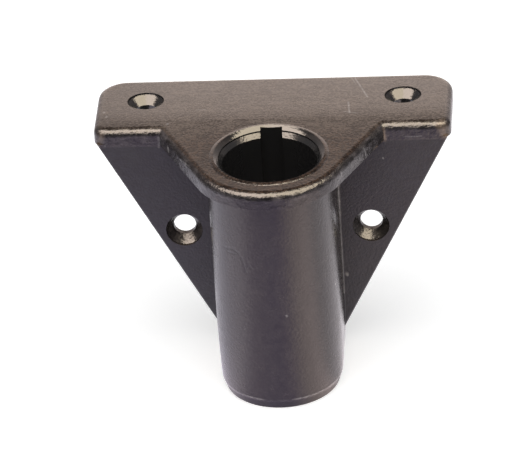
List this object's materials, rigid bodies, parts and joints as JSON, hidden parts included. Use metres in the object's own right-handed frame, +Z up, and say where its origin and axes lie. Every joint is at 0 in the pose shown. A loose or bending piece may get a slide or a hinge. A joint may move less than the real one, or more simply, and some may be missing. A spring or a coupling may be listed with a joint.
{
  "type": "oarlock socket",
  "caption": "Side-mount oarlock socket: flange for the gunwale, triangular side plate and a keyed tube that takes the oarlock's shank.",
  "frame": {"origin": "on the bore's axis, level with the seat under the flange's front edge, where the gunwale's top outer edge lies", "axes": "+Z up along the bore, out of its mouth; +Y inboard, from the bore towards the flange; +X along the boat's side"},
  "size_m": [0.09, 0.0604, 0.0664],
  "materials": {
    "moulded_nylon": "satin"
  },
  "bodies": {
    "root": {"oarlock_socket": "moulded_nylon"}
  },
  "joints": []
}
